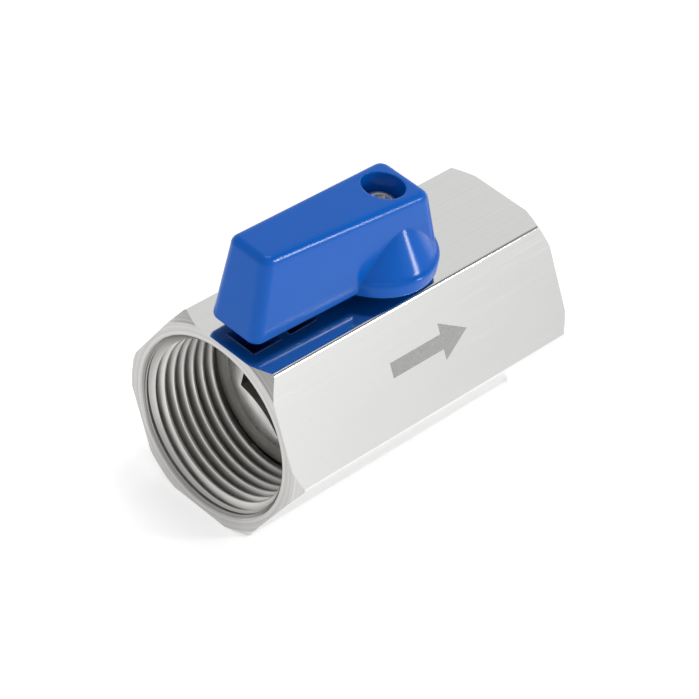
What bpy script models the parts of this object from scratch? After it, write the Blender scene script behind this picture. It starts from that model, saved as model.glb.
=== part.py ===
"""Mini ball valve: hexagonal bar body with a female pipe thread at each end, a bored ball on a
quarter-turn stem, and a short plastic lever held by one screw. Units are metres, +Z is up.

The pipe runs along X, the stem along Z, and the body stands on a flat of the hexagon with the
origin under the middle of that flat. The valve is open: the lever points along the pipe to -X.
"""

import math

import bmesh
import bpy
from mathutils import Matrix, Vector

MM = 0.001

# Clearances between separate pieces
FIT_GAP = 0.30 * MM  # around pieces that drop into each other
SEAL_GAP = 0.15 * MM  # around seals, washers and the stem's small parts
BORE_STEP = 0.1 * MM  # extra radius of the body's chamber and passage over what they hold or follow

# Hexagonal bar body
ACROSS_FLATS = 29.0 * MM
BODY_LENGTH = 55.0 * MM
END_FACE_MARGIN = 0.8 * MM  # the turned 45 degree chamfer meets an end face this far past the flats
EDGE_ROUND = 0.35 * MM  # polished long edges of the bar
STEM_X = 0.5 * MM  # stem axis, measured along the pipe from the body's middle

# Parallel pipe thread, 14 threads to the inch
THREAD_PITCH = 1.814 * MM
THREAD_MAJOR_RADIUS = 13.22 * MM
THREAD_MINOR_RADIUS = 12.06 * MM
THREAD_ROOT_FLAT = 0.24 * MM
THREAD_FLANK_ANGLE = math.radians(27.5)
THREAD_STEPS = 36  # facets in one turn
THREAD_OVERLAP = 0.25 * MM  # how far the groove's cutter reaches inside the minor radius
FACET_SHIFT = 0.35  # share of a facet between the bore's edges and the thread's, so none coincide
RUN_OUT = 1.1 * MM  # how far the inlet thread goes on behind the retainer's face
MOUTH_RADIUS = 13.4 * MM  # plain relief at each mouth
MOUTH_DEPTH = 0.65 * MM
SOCKET_DEPTH = 13.1 * MM  # mouth to the retainer's face, and to the outlet's end wall
RELIEF_WIDTH = 1.9 * MM  # groove where the outlet thread ends

# Ball and seats
BALL_RADIUS = 9.5 * MM
PORT_WALL = 2.9 * MM  # from the port's edge to the ball's equator
SLOT_WIDTH = 3.8 * MM
SLOT_WEB = 1.0 * MM  # ball left between its port and the stem's slot
SEAT_BORE_STEP = 0.3 * MM  # seat bore's radius over the port's
SEAT_LAND = 1.1 * MM  # seating face stops this far inside the ball's radius
SEAT_WEB = 1.85 * MM  # seat's thickness at its bore

# Retainer ring
HEX_SOCKET_FLATS = 15.2 * MM
RETAINER_DISH_RADIUS = 10.0 * MM
RETAINER_DISH_SLOPE = math.radians(24)  # the dish falls inward at this angle, as far as the port
RETAINER_RADIUS = 12.5 * MM
HEX_SOCKET_DEPTH = 4.2 * MM
RETAINER_TURN = math.radians(3)  # where the ring came to rest when it was tightened

# Stem
STEM_RADIUS = 3.5 * MM
END_CHAMFER = 0.4 * MM  # at the stem's top and the screw's foot
COLLAR_RADIUS = 5.0 * MM
COLLAR_HEIGHT = 1.4 * MM
TONGUE_LENGTH = 7.4 * MM
WASHER_HEIGHT = 0.6 * MM
O_RING_SECTION_RADIUS = 0.5 * MM
SQUARE_SIDE = 5.0 * MM
SQUARE_HEIGHT = 7.4 * MM  # stem top above the body's top flat
SQUARE_START = 0.6 * MM  # where the square begins above the body's top flat
TAPPED_DEPTH = 5.8 * MM

# Lever
LEVER_LIFT = 1.6 * MM  # flange and bar above the body's top flat
LEVER_TOP = 13.67 * MM  # top face above the body's top flat, at the stem
LEVER_RISE = 0.06  # the top face climbs this much per metre towards the tip
TIP_X_TOP, TIP_X_BOTTOM = -25.3 * MM, -26.1 * MM
HEEL_X_TOP, HEEL_X_BOTTOM = 5.15 * MM, 9.0 * MM
TIP_HALF_TOP, TIP_HALF_BOTTOM = 3.6 * MM, 4.45 * MM
HEEL_HALF_TOP, HEEL_HALF_BOTTOM = 4.75 * MM, 5.45 * MM
LEVER_CORNER_ROUND = 1.5 * MM
LEVER_TOP_ROUND = 1.2 * MM
FLANGE_RADIUS = 9.2 * MM
FLANGE_HEIGHT = 2.3 * MM
FLANGE_ROUND = 0.4 * MM
CONE_BASE_RADIUS = 8.65 * MM
CONE_TOP_RADIUS = 2.9 * MM
CONE_HEIGHT = 8.0 * MM  # cone's own height above the flange
POCKET_LENGTH, POCKET_RIB = 5.2 * MM, 1.6 * MM
POCKET_HALF_BOTTOM, POCKET_HALF_TOP = 2.6 * MM, 2.2 * MM
POCKET_COUNT = 2
LEVER_ROOF = 2.4 * MM  # plastic left above the pockets
TIP_WALL = 2.2 * MM

# Screw
SCREW_HOLE_RADIUS = 3.1 * MM
SCREW_HEAD_RADIUS = 2.8 * MM
SCREW_HEAD_HEIGHT = 2.1 * MM
SCREW_HEAD_DEPTH = 2.5 * MM  # head's crown below the lever's top face
SCREW_RADIUS = 1.4 * MM
SCREW_ENGAGED = 5.0 * MM  # shank inside the stem
SCREW_CROWN_FLAT = 1.5 * MM  # radius where the crown starts to fall
SCREW_CROWN_DROP = 1.2 * MM
RECESS_WIDTH, RECESS_SPAN, RECESS_DEPTH = 0.75 * MM, 3.1 * MM, 1.1 * MM

# Travel stop
PIN_RADIUS = 1.2 * MM
PIN_CHAMFER = 0.25 * MM
PIN_ORBIT = 7.1 * MM  # pin's distance from the stem axis
PIN_ANGLE = math.radians(45)
PIN_SUNK = 2.0 * MM
PIN_ENGAGED = 1.2 * MM  # height of pin inside the lever's slot
QUARTER_TURN = math.radians(90)

# Places worked out from the sizes above
END_FACE_RADIUS = ACROSS_FLATS / 2 + END_FACE_MARGIN
PORT_RADIUS = BALL_RADIUS - PORT_WALL
SLOT_FLOOR = PORT_RADIUS + SLOT_WEB  # above the ball's centre
SEAT_BORE_RADIUS = PORT_RADIUS + SEAT_BORE_STEP
SEAT_CONTACT_RADIUS = BALL_RADIUS - SEAT_LAND
SEAT_SPHERE = BALL_RADIUS + SEAL_GAP
SEAT_BACK = math.sqrt(SEAT_SPHERE**2 - SEAT_BORE_RADIUS**2) + SEAT_WEB  # from the ball's centre
PASSAGE_RADIUS = SEAT_BORE_RADIUS + BORE_STEP  # through the web behind the outlet seat
HALF_LENGTH = BODY_LENGTH / 2
AXIS_Z = ACROSS_FLATS / 2
TOP_Z = ACROSS_FLATS
INLET_FLOOR_X = -HALF_LENGTH + SOCKET_DEPTH
OUTLET_FLOOR_X = HALF_LENGTH - SOCKET_DEPTH
CHAMBER_RADIUS = BALL_RADIUS + FIT_GAP + BORE_STEP
SEAT_OUTER_RADIUS = CHAMBER_RADIUS - FIT_GAP
CHAMBER_INLET_X = STEM_X - SEAT_BACK
CHAMBER_OUTLET_X = STEM_X + SEAT_BACK + SEAL_GAP
WASHER_RADIUS = COLLAR_RADIUS
STEM_BORE_RADIUS = STEM_RADIUS + FIT_GAP
COUNTERBORE_RADIUS = COLLAR_RADIUS + FIT_GAP
COLLAR_Z = AXIS_Z + BALL_RADIUS + 2 * FIT_GAP
TONGUE_Z = AXIS_Z + SLOT_FLOOR + FIT_GAP
WASHER_Z = COLLAR_Z + COLLAR_HEIGHT + SEAL_GAP
COUNTERBORE_Z = WASHER_Z + WASHER_HEIGHT + SEAL_GAP
LEVER_Z = TOP_Z + LEVER_LIFT
STEM_TOP_Z = TOP_Z + SQUARE_HEIGHT
SHELF_Z = STEM_TOP_Z + FIT_GAP
LEVER_TOP_Z = TOP_Z + LEVER_TOP
HEAD_TOP_Z = LEVER_TOP_Z - SCREW_HEAD_DEPTH
HEAD_Z = HEAD_TOP_Z - SCREW_HEAD_HEIGHT
SHELF_TOP_Z = HEAD_Z - SEAL_GAP
SQUARE_START_Z = TOP_Z + SQUARE_START
SLOT_TOP_Z = LEVER_Z + PIN_ENGAGED + FIT_GAP
FLANGE_TOP_Z = LEVER_Z + FLANGE_HEIGHT
O_RING_Z = (COUNTERBORE_Z + TOP_Z) / 2

ROUND_STEPS = 48
SMALL_STEPS = 32
HOLE_STEPS = 24  # round the screw's holes
PIN_STEPS = 16  # round the stop pin and its hole
ARC_STEPS = 4  # along the seats' faces and the screw's crown
SLOT_STEPS = 18  # along the stop slot
O_RING_SIDES = 12  # round the O-ring's section
MERGE = 0.00001  # well under the smallest feature
OVERCUT = 1.0 * MM  # how far a cutter runs past the face it opens

ALONG_PIPE = Matrix.Rotation(math.radians(90), 4, "Y")  # turns a Z axis to +X


def clear_scene():
    """Empties the scene the script starts in."""
    for obj in list(bpy.data.objects):
        bpy.data.objects.remove(obj)


def new_collection(name):
    """A collection linked under the scene's own."""
    collection = bpy.data.collections.new(name)
    bpy.context.scene.collection.children.link(collection)
    return collection


clear_scene()
PARTS = new_collection("water_shutoff_valve")
CUTTERS = new_collection("cutters")


def add_object(name, bm, collection, location=(0, 0, 0)):
    """Turns a bmesh into an object of the collection."""
    bmesh.ops.recalc_face_normals(bm, faces=bm.faces)
    mesh = bpy.data.meshes.new(name)
    bm.to_mesh(mesh)
    bm.free()
    obj = bpy.data.objects.new(name, mesh)
    obj.location = location
    collection.objects.link(obj)
    if collection is CUTTERS:
        obj.hide_render = True
        obj.display_type = "WIRE"
    return obj


def turned(name, profile, collection, steps=ROUND_STEPS, along_pipe=False, centre=None, turn=0.0):
    """A shape of revolution. The profile holds (radius, height) points, from the top down the
    outer side; one that starts off the axis is a ring, and its last point joins its first.
    Along the pipe, the facets may be turned about their axis by an angle."""
    bm = bmesh.new()
    points = [bm.verts.new((radius, 0, height)) for radius, height in profile]
    for first, second in zip(points, points[1:]):
        bm.edges.new((first, second))
    if profile[0][0] > 0:
        bm.edges.new((points[-1], points[0]))
    obj = add_object(name, bm, collection)
    if along_pipe:
        spin = Matrix.Rotation(turn, 4, "Z")
        obj.matrix_world = Matrix.Translation(centre or (0, 0, AXIS_Z)) @ ALONG_PIPE @ spin
    else:
        obj.location = centre or (STEM_X, 0, 0)
    screw = obj.modifiers.new("turn", "SCREW")
    screw.axis = "Z"
    screw.steps = steps
    screw.render_steps = steps
    screw.use_merge_vertices = True
    screw.merge_threshold = MERGE
    return obj


def box(name, low, high, collection=None, location=(0, 0, 0)):
    """A block between two corners, given in the object's own frame."""
    low, high = Vector(low), Vector(high)
    middle = (low + high) / 2
    size = high - low
    bm = bmesh.new()
    place = Matrix.Translation(middle) @ Matrix.Diagonal((*size, 1))
    bmesh.ops.create_cube(bm, size=1, matrix=place)
    return add_object(name, bm, collection or CUTTERS, location)


def cylinder(name, radius, low, high, x=STEM_X, y=0.0, steps=SMALL_STEPS):
    """An upright cylinder for cutting, between two heights."""
    bm = bmesh.new()
    place = Matrix.Translation((0, 0, (low + high) / 2))
    bmesh.ops.create_cone(
        bm, cap_ends=True, segments=steps, radius1=radius, radius2=radius, depth=high - low,
        matrix=place,
    )
    return add_object(name, bm, CUTTERS, (x, y, 0))


def boolean(obj, other, operation="DIFFERENCE"):
    """Cuts, joins or intersects one object with another."""
    modifier = obj.modifiers.new(other.name, "BOOLEAN")
    modifier.operation = operation
    modifier.solver = "EXACT"
    modifier.object = other
    return obj


def arc(centre, radius, first, last, steps):
    """Points of a circular arc, in degrees, as (x, y) pairs."""
    for step in range(steps + 1):
        angle = math.radians(first + (last - first) * step / steps)
        yield centre[0] + radius * math.cos(angle), centre[1] + radius * math.sin(angle)


def bevel_by_weight(obj, width, segments):
    """Rounds the edges that hold a bevel weight."""
    modifier = obj.modifiers.new("round", "BEVEL")
    modifier.limit_method = "WEIGHT"
    modifier.offset_type = "OFFSET"
    modifier.width = width
    modifier.segments = segments
    return obj


def weigh_edges(bm, weight_of):
    """Stores a bevel weight on each edge, from a function of its two ends."""
    layer = bm.edges.layers.float.new("bevel_weight_edge")
    for edge in bm.edges:
        edge[layer] = weight_of(edge.verts[0].co, edge.verts[1].co)


def hex_bar():
    """Hexagonal bar a little longer than the body, flats at top and bottom, edges polished."""
    bm = bmesh.new()
    corner = ACROSS_FLATS / 2 / math.cos(math.pi / 6)
    place = Matrix.Translation((0, 0, AXIS_Z)) @ ALONG_PIPE
    bmesh.ops.create_cone(
        bm, cap_ends=True, segments=6, radius1=corner, radius2=corner,
        depth=BODY_LENGTH + 2 * OVERCUT, matrix=place,
    )
    weigh_edges(bm, lambda a, b: float(abs(a.x - b.x) > BODY_LENGTH / 2))
    bar = add_object("valve_body", bm, PARTS)
    return bevel_by_weight(bar, EDGE_ROUND, 2)


def lathe_blank():
    """Turned envelope that faces the bar to length and chamfers the corners of both ends."""
    outer = ACROSS_FLATS / 2 / math.cos(math.pi / 6) + OVERCUT
    run = outer - END_FACE_RADIUS
    profile = [
        (0, HALF_LENGTH),
        (END_FACE_RADIUS, HALF_LENGTH),
        (outer, HALF_LENGTH - run),
        (outer, run - HALF_LENGTH),
        (END_FACE_RADIUS, -HALF_LENGTH),
        (0, -HALF_LENGTH),
    ]
    return turned("lathe_blank", profile, CUTTERS, 2 * THREAD_STEPS, along_pipe=True)


def waterway():
    """Everything bored along the pipe: outlet socket, passage, ball chamber and inlet socket."""
    lead_in = MOUTH_DEPTH + MOUTH_RADIUS - THREAD_MINOR_RADIUS
    retainer_bore = RETAINER_RADIUS + FIT_GAP
    profile = [
        (0, HALF_LENGTH + OVERCUT),
        (MOUTH_RADIUS, HALF_LENGTH + OVERCUT),
        (MOUTH_RADIUS, HALF_LENGTH - MOUTH_DEPTH),
        (THREAD_MINOR_RADIUS, HALF_LENGTH - lead_in),
        (THREAD_MINOR_RADIUS, OUTLET_FLOOR_X + RELIEF_WIDTH),
        (MOUTH_RADIUS, OUTLET_FLOOR_X + RELIEF_WIDTH),
        (MOUTH_RADIUS, OUTLET_FLOOR_X),
        (PASSAGE_RADIUS, OUTLET_FLOOR_X),
        (PASSAGE_RADIUS, CHAMBER_OUTLET_X),
        (CHAMBER_RADIUS, CHAMBER_OUTLET_X),
        (CHAMBER_RADIUS, CHAMBER_INLET_X),
        (retainer_bore, CHAMBER_INLET_X),
        (retainer_bore, INLET_FLOOR_X - FIT_GAP),
        (THREAD_MINOR_RADIUS, INLET_FLOOR_X - FIT_GAP),
        (THREAD_MINOR_RADIUS, lead_in - HALF_LENGTH),
        (MOUTH_RADIUS, MOUTH_DEPTH - HALF_LENGTH),
        (MOUTH_RADIUS, -HALF_LENGTH - OVERCUT),
        (0, -HALF_LENGTH - OVERCUT),
    ]
    apart = FACET_SHIFT * 2 * math.pi / THREAD_STEPS
    return turned("waterway", profile, CUTTERS, THREAD_STEPS, along_pipe=True, turn=apart)


def thread_groove(name, deepest, turn_round):
    """Right-hand helical groove of the pipe thread, from outside the mouth to the given depth."""
    inner = THREAD_MINOR_RADIUS - THREAD_OVERLAP
    root_half = THREAD_ROOT_FLAT / 2
    inner_half = root_half + (THREAD_MAJOR_RADIUS - inner) * math.tan(THREAD_FLANK_ANGLE)
    section = [
        (inner, -inner_half),
        (THREAD_MAJOR_RADIUS, -root_half),
        (THREAD_MAJOR_RADIUS, root_half),
        (inner, inner_half),
    ]
    start = -THREAD_PITCH / 2
    count = round((deepest - start) / THREAD_PITCH * THREAD_STEPS)
    bm = bmesh.new()
    rings = []
    for step in range(count + 1):
        angle = 2 * math.pi * step / THREAD_STEPS
        x = -HALF_LENGTH + start + THREAD_PITCH * step / THREAD_STEPS
        ring = []
        for radius, along in section:
            y, z = -radius * math.sin(angle), radius * math.cos(angle)
            ring.append(bm.verts.new((x + along, y, z)))
        rings.append(ring)
    for first, second in zip(rings, rings[1:]):
        for i in range(len(section)):
            j = (i + 1) % len(section)
            bm.faces.new((first[i], first[j], second[j], second[i]))
    bm.faces.new(rings[0])
    bm.faces.new(rings[-1])
    if turn_round:
        bm.transform(Matrix.Rotation(math.pi, 4, "Z"))
    return add_object(name, bm, CUTTERS, (0, 0, AXIS_Z))


def pin_place():
    """Where the travel stop stands on the top flat."""
    return STEM_X + PIN_ORBIT * math.cos(PIN_ANGLE), PIN_ORBIT * math.sin(PIN_ANGLE)


def build_body():
    """Hexagonal bar body with its waterway, both pipe threads, stem bore and stop pin hole."""
    body = hex_bar()
    boolean(body, lathe_blank(), "INTERSECT")
    boolean(body, waterway())
    boolean(body, thread_groove("inlet_thread", SOCKET_DEPTH + RUN_OUT, False))
    boolean(body, thread_groove("outlet_thread", SOCKET_DEPTH - THREAD_PITCH / 2, True))
    stem_bore = [
        (0, TOP_Z + OVERCUT),
        (STEM_BORE_RADIUS, TOP_Z + OVERCUT),
        (STEM_BORE_RADIUS, COUNTERBORE_Z),
        (COUNTERBORE_RADIUS, COUNTERBORE_Z),
        (COUNTERBORE_RADIUS, AXIS_Z + BALL_RADIUS / 2),
        (0, AXIS_Z + BALL_RADIUS / 2),
    ]
    boolean(body, turned("stem_bore", stem_bore, CUTTERS, SMALL_STEPS))
    x, y = pin_place()
    low = TOP_Z - PIN_SUNK - SEAL_GAP
    hole = cylinder("pin_hole", PIN_RADIUS + SEAL_GAP, low, TOP_Z + OVERCUT, x, y, PIN_STEPS)
    return boolean(body, hole)


def build_retainer():
    """Threaded ring that holds the ball and seats in, with a hexagon socket for its key."""
    back = STEM_X - SEAT_BACK - FIT_GAP
    port = SEAT_BORE_RADIUS
    dish_depth = (RETAINER_DISH_RADIUS - port) * math.tan(RETAINER_DISH_SLOPE)
    dish = [
        (port, back),
        (port, INLET_FLOOR_X + dish_depth),
        (RETAINER_DISH_RADIUS, INLET_FLOOR_X),
        (RETAINER_RADIUS, INLET_FLOOR_X),
        (RETAINER_RADIUS, back),
    ]
    ring = turned("retainer_ring", dish[::-1], PARTS, THREAD_STEPS, along_pipe=True)
    bm = bmesh.new()
    corner = HEX_SOCKET_FLATS / 2 / math.cos(math.pi / 6)
    middle = INLET_FLOOR_X + (HEX_SOCKET_DEPTH - OVERCUT) / 2
    turn = Matrix.Rotation(math.pi / 6 - RETAINER_TURN, 4, "Z")
    place = Matrix.Translation((middle, 0, AXIS_Z)) @ ALONG_PIPE @ turn
    bmesh.ops.create_cone(
        bm, cap_ends=True, segments=6, radius1=corner, radius2=corner,
        depth=HEX_SOCKET_DEPTH + OVERCUT, matrix=place,
    )
    return boolean(ring, add_object("hex_socket", bm, CUTTERS))


def build_seat(name, side):
    """Seat ring with a spherical face against the ball; side is -1 at the inlet, 1 at the outlet."""
    face = []
    for step in range(ARC_STEPS + 1):
        radius = SEAT_BORE_RADIUS + (SEAT_CONTACT_RADIUS - SEAT_BORE_RADIUS) * step / ARC_STEPS
        face.append((radius, -math.sqrt(SEAT_SPHERE**2 - radius**2)))
    front = face[-1][1]
    profile = [(SEAT_OUTER_RADIUS, front), (SEAT_OUTER_RADIUS, -SEAT_BACK)]
    profile += [(SEAT_BORE_RADIUS, -SEAT_BACK)] + face
    ring = turned(name, profile, PARTS, ROUND_STEPS)
    tilt = ALONG_PIPE if side < 0 else Matrix.Rotation(math.pi, 4, "Z") @ ALONG_PIPE
    ring.matrix_world = Matrix.Translation((STEM_X, 0, AXIS_Z)) @ tilt
    return ring


def build_ball():
    """Ball with its straight port along the pipe and the slot its stem turns it by."""
    bm = bmesh.new()
    bmesh.ops.create_uvsphere(bm, u_segments=ROUND_STEPS, v_segments=ROUND_STEPS // 2, radius=BALL_RADIUS)
    ball = add_object("ball", bm, PARTS, (STEM_X, 0, AXIS_Z))
    reach = BALL_RADIUS + OVERCUT
    port = [(0, reach), (PORT_RADIUS, reach), (PORT_RADIUS, -reach), (0, -reach)]
    boolean(ball, turned("port", port, CUTTERS, SMALL_STEPS, True, (STEM_X, 0, AXIS_Z)))
    low = (-SLOT_WIDTH / 2, -reach, SLOT_FLOOR)
    high = (SLOT_WIDTH / 2, reach, reach)
    return boolean(ball, box("drive_slot", low, high, location=(STEM_X, 0, AXIS_Z)))


def build_stem():
    """Stem with its tongue, collar, seal groove, square drive and tapped hole."""
    groove = STEM_BORE_RADIUS - SEAL_GAP - 2 * O_RING_SECTION_RADIUS - SEAL_GAP
    half = O_RING_SECTION_RADIUS + SEAL_GAP
    profile = [
        (0, STEM_TOP_Z),
        (STEM_RADIUS - END_CHAMFER, STEM_TOP_Z),
        (STEM_RADIUS, STEM_TOP_Z - END_CHAMFER),
        (STEM_RADIUS, O_RING_Z + half),
        (groove, O_RING_Z + half),
        (groove, O_RING_Z - half),
        (STEM_RADIUS, O_RING_Z - half),
        (STEM_RADIUS, COLLAR_Z + COLLAR_HEIGHT),
        (COLLAR_RADIUS, COLLAR_Z + COLLAR_HEIGHT),
        (COLLAR_RADIUS, COLLAR_Z),
        (0, COLLAR_Z),
    ]
    stem = turned("stem", profile, PARTS, SMALL_STEPS)
    half_width = SLOT_WIDTH / 2 - FIT_GAP
    low = (-half_width, -TONGUE_LENGTH / 2, TONGUE_Z)
    high = (half_width, TONGUE_LENGTH / 2, COLLAR_Z + COLLAR_HEIGHT / 2)
    boolean(stem, box("tongue", low, high, location=(STEM_X, 0, 0)), "UNION")
    side, reach = SQUARE_SIDE / 2, STEM_RADIUS + OVERCUT
    for number, along in enumerate(((1, 0), (-1, 0), (0, 1), (0, -1))):
        middle = Vector((*along, 0)) * (side + reach) / 2
        across = Vector((abs(along[1]), abs(along[0]), 0)) * reach
        deep = Vector((abs(along[0]), abs(along[1]), 0)) * (reach - side) / 2
        low = middle - across - deep + Vector((0, 0, SQUARE_START_Z))
        high = middle + across + deep + Vector((0, 0, STEM_TOP_Z + OVERCUT))
        boolean(stem, box(f"square_flat_{number}", low, high, location=(STEM_X, 0, 0)))
    low, high = STEM_TOP_Z - TAPPED_DEPTH, STEM_TOP_Z + OVERCUT
    hole = cylinder("tapped_hole", SCREW_RADIUS + SEAL_GAP, low, high, steps=HOLE_STEPS)
    return boolean(stem, hole)


def build_washer():
    """Thrust washer between the stem's collar and the body."""
    inner = STEM_RADIUS + SEAL_GAP
    top = WASHER_Z + WASHER_HEIGHT
    profile = [(WASHER_RADIUS, top), (WASHER_RADIUS, WASHER_Z), (inner, WASHER_Z), (inner, top)]
    return turned("stem_thrust_washer", profile, PARTS, SMALL_STEPS)


def build_o_ring():
    """O-ring in the stem's groove."""
    middle = STEM_BORE_RADIUS - SEAL_GAP - O_RING_SECTION_RADIUS
    last = 90 - 360 * (O_RING_SIDES - 1) / O_RING_SIDES
    profile = list(arc((middle, O_RING_Z), O_RING_SECTION_RADIUS, 90, last, O_RING_SIDES - 1))
    return turned("stem_o_ring", profile, PARTS, SMALL_STEPS)


def build_pin():
    """Travel stop pin in the body's top flat."""
    x, y = pin_place()
    top = LEVER_Z + PIN_ENGAGED
    profile = [
        (0, top),
        (PIN_RADIUS - PIN_CHAMFER, top),
        (PIN_RADIUS, top - PIN_CHAMFER),
        (PIN_RADIUS, TOP_Z - PIN_SUNK),
        (0, TOP_Z - PIN_SUNK),
    ]
    return turned("stop_pin", profile, PARTS, PIN_STEPS, centre=(x, y, 0))


def lever_top(x):
    """Height of the lever's sloping top face, this far from the stem axis along the pipe."""
    return LEVER_TOP_Z - LEVER_RISE * x


def lever_bar():
    """Tapering bar of the lever, with rounded upright corners and top edges."""
    bm = bmesh.new()
    bmesh.ops.create_cube(bm, size=2)
    for corner in bm.verts:
        at_heel, at_top = corner.co.x > 0, corner.co.z > 0
        if at_top:
            x = (HEEL_X_TOP if at_heel else TIP_X_TOP) - STEM_X
            half = HEEL_HALF_TOP if at_heel else TIP_HALF_TOP
        else:
            x = (HEEL_X_BOTTOM if at_heel else TIP_X_BOTTOM) - STEM_X
            half = HEEL_HALF_BOTTOM if at_heel else TIP_HALF_BOTTOM
        height = lever_top(x) if at_top else LEVER_Z
        corner.co = (x, math.copysign(half, corner.co.y), height)
    middle = (LEVER_Z + LEVER_TOP_Z) / 2

    def weight(a, b):
        if a.z > middle and b.z > middle:
            return LEVER_TOP_ROUND / LEVER_CORNER_ROUND
        return float((a.z > middle) != (b.z > middle))

    weigh_edges(bm, weight)
    bar = add_object("handle", bm, PARTS, (STEM_X, 0, 0))
    return bevel_by_weight(bar, LEVER_CORNER_ROUND, 4)


def lever_boss():
    """Cone and flange under the bar, turned about the stem."""
    profile = [(0, FLANGE_TOP_Z + CONE_HEIGHT), (CONE_TOP_RADIUS, FLANGE_TOP_Z + CONE_HEIGHT)]
    profile.append((CONE_BASE_RADIUS, FLANGE_TOP_Z))
    profile += arc((FLANGE_RADIUS - FLANGE_ROUND, FLANGE_TOP_Z - FLANGE_ROUND), FLANGE_ROUND, 90, 0, 3)
    profile += [(FLANGE_RADIUS, LEVER_Z), (0, LEVER_Z)]
    return turned("lever_boss", profile, CUTTERS, ROUND_STEPS)


def stop_slot():
    """Arc slot under the flange that swings a quarter turn about the stop pin."""
    half = PIN_RADIUS + FIT_GAP
    spare = half / PIN_ORBIT
    first, last = PIN_ANGLE - spare, PIN_ANGLE + QUARTER_TURN + spare
    outline = []
    for radius, ends in ((PIN_ORBIT + half, (first, last)), (PIN_ORBIT - half, (last, first))):
        outline += arc((0, 0), radius, math.degrees(ends[0]), math.degrees(ends[1]), SLOT_STEPS)
    low = LEVER_Z - OVERCUT
    curve = bpy.data.curves.new("stop_slot", "CURVE")
    curve.dimensions = "2D"
    curve.fill_mode = "BOTH"
    curve.extrude = (SLOT_TOP_Z - low) / 2
    spline = curve.splines.new("POLY")
    spline.points.add(len(outline) - 1)
    for point, (x, y) in zip(spline.points, outline):
        point.co = (x, y, 0, 1)
    spline.use_cyclic_u = True
    flat = bpy.data.objects.new("stop_slot_outline", curve)
    CUTTERS.objects.link(flat)
    flat.hide_render = True
    bpy.context.view_layer.update()
    mesh = bpy.data.meshes.new_from_object(flat.evaluated_get(bpy.context.evaluated_depsgraph_get()))
    bpy.data.objects.remove(flat)
    bm = bmesh.new()
    bm.from_mesh(mesh)
    bmesh.ops.remove_doubles(bm, verts=bm.verts, dist=MERGE)
    return add_object("stop_slot", bm, CUTTERS, (STEM_X, 0, (SLOT_TOP_Z + low) / 2))


def lever_pocket(number):
    """One of the tapering hollows cored out of the arm's underside."""
    start = TIP_X_BOTTOM + TIP_WALL - STEM_X + number * (POCKET_LENGTH + POCKET_RIB)
    bm = bmesh.new()
    bmesh.ops.create_cube(bm, size=2)
    for corner in bm.verts:
        at_top = corner.co.z > 0
        x = start + (POCKET_LENGTH if corner.co.x > 0 else 0)
        half = POCKET_HALF_TOP if at_top else POCKET_HALF_BOTTOM
        height = lever_top(x) - LEVER_ROOF if at_top else LEVER_Z - OVERCUT
        corner.co = (x, math.copysign(half, corner.co.y), height)
    return add_object(f"lever_pocket_{number}", bm, CUTTERS, (STEM_X, 0, 0))


def build_handle():
    """Lever: bar, boss and flange in one moulding, with its screw hole, socket and hollows."""
    handle = lever_bar()
    boolean(handle, lever_boss(), "UNION")
    above = LEVER_TOP_Z + LEVER_RISE * BODY_LENGTH
    boolean(handle, cylinder("screw_hole", SCREW_HOLE_RADIUS, SHELF_TOP_Z, above))
    low = SHELF_Z - OVERCUT / 2
    boolean(handle, cylinder("shank_hole", SCREW_RADIUS + FIT_GAP, low, above, steps=HOLE_STEPS))
    half = SQUARE_SIDE / 2 + FIT_GAP
    low, high = (-half, -half, LEVER_Z - OVERCUT), (half, half, SHELF_Z)
    boolean(handle, box("square_socket", low, high, location=(STEM_X, 0, 0)))
    boolean(handle, stop_slot())
    for number in range(POCKET_COUNT):
        boolean(handle, lever_pocket(number))
    return handle


def build_screw():
    """Pan head screw that holds the lever down on the stem."""
    crown = [(0, HEAD_TOP_Z)]
    for step in range(ARC_STEPS + 1):
        angle = math.pi / 2 * (1 - step / ARC_STEPS)
        radius = SCREW_CROWN_FLAT + (SCREW_HEAD_RADIUS - SCREW_CROWN_FLAT) * math.cos(angle)
        crown.append((radius, HEAD_TOP_Z - SCREW_CROWN_DROP * (1 - math.sin(angle))))
    foot = STEM_TOP_Z - SCREW_ENGAGED
    profile = crown + [
        (SCREW_HEAD_RADIUS, HEAD_Z),
        (SCREW_RADIUS, HEAD_Z),
        (SCREW_RADIUS, foot + END_CHAMFER),
        (SCREW_RADIUS - END_CHAMFER, foot),
        (0, foot),
    ]
    screw = turned("handle_screw", profile, PARTS, SMALL_STEPS)
    low_z, high_z = HEAD_TOP_Z - RECESS_DEPTH, HEAD_TOP_Z + OVERCUT
    long, short = RECESS_SPAN / 2, RECESS_WIDTH / 2
    for name, x, y in (("recess_along", long, short), ("recess_across", short, long)):
        boolean(screw, box(name, (-x, -y, low_z), (x, y, high_z), location=(STEM_X, 0, 0)))
    return screw


def finish(obj, name, colour, metallic, roughness):
    """Gives a piece its own material and smooth shading."""
    material = bpy.data.materials.new(name)
    material.use_nodes = True
    shader = material.node_tree.nodes["Principled BSDF"]
    shader.inputs["Base Color"].default_value = (*colour, 1)
    shader.inputs["Metallic"].default_value = metallic
    shader.inputs["Roughness"].default_value = roughness
    obj.data.materials.clear()
    obj.data.materials.append(material)
    obj.data.shade_smooth()
    obj.data.set_sharp_from_angle(angle=math.radians(30))


STEEL, BRIGHT_STEEL, DARK_STEEL = (0.62, 0.61, 0.60), (0.75, 0.75, 0.75), (0.30, 0.30, 0.32)
LEVER_BLUE, SEAT_WHITE, FILLED_WHITE, RUBBER_BLACK = (
    (0.02, 0.12, 0.45), (0.85, 0.85, 0.82), (0.70, 0.68, 0.62), (0.02, 0.02, 0.02),
)


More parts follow.
